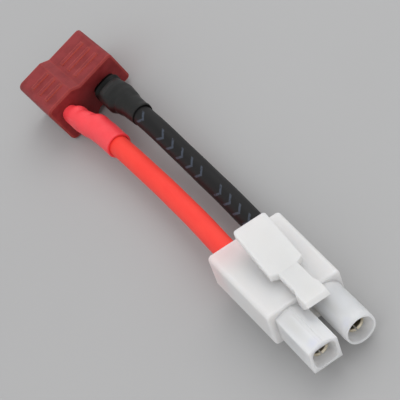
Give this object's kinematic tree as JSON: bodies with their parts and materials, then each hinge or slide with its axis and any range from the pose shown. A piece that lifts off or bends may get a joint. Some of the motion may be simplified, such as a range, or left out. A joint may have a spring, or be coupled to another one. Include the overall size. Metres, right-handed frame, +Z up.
{
  "type": "battery adapter cable",
  "caption": "Short two-lead adapter cable between a red two-blade T socket and a white latching two-tube socket housing.",
  "frame": {"origin": "middle of the underside of both plugs together, on the surface that the cable lies on", "axes": "+Y runs from the tube mouths to the T plug, +X to the right seen from the tube mouths, +Z up"},
  "size_m": [0.017, 0.094, 0.0136],
  "materials": {
    "red_nylon": "moulded nylon, soft sheen",
    "gold_brass": "gold flashed brass",
    "spring_steel": "rolled strip",
    "solder": "bright solder",
    "red_sleeve": "shrunk polyolefin sleeve",
    "black_sleeve": "shrunk polyolefin sleeve",
    "red_silicone": "silicone rubber",
    "black_silicone": "silicone rubber",
    "tinned_copper": "fine strands",
    "white_nylon": "natural moulded nylon, slightly translucent"
  },
  "bodies": {
    "cable": {"t_plug_housing": "red_nylon", "t_plug_contact_positive": "gold_brass", "t_plug_contact_negative": "gold_brass", "t_plug_spring_positive": "spring_steel", "t_plug_spring_negative": "spring_steel", "solder_joint_positive": "solder", "solder_joint_negative": "solder", "heat_shrink_red": "red_sleeve", "heat_shrink_black": "black_sleeve", "wire_jacket_red": "red_silicone", "wire_jacket_black": "black_silicone", "wire_core_red": "tinned_copper", "wire_core_black": "tinned_copper", "tube_housing": "white_nylon", "socket_contact_positive": "gold_brass", "socket_contact_negative": "gold_brass"},
    "latch": {"latch_lever": "white_nylon"}
  },
  "joints": [
    {"name": "latch_press", "type": "hinge", "parent": "cable", "child": "latch", "pos_m": [0.00271, -0.03402, 0.00907], "axis": [-0.9563, 0, 0.2924], "range_deg": [0, 13], "stiffness_Nm_per_rad": 0.02}
  ]
}
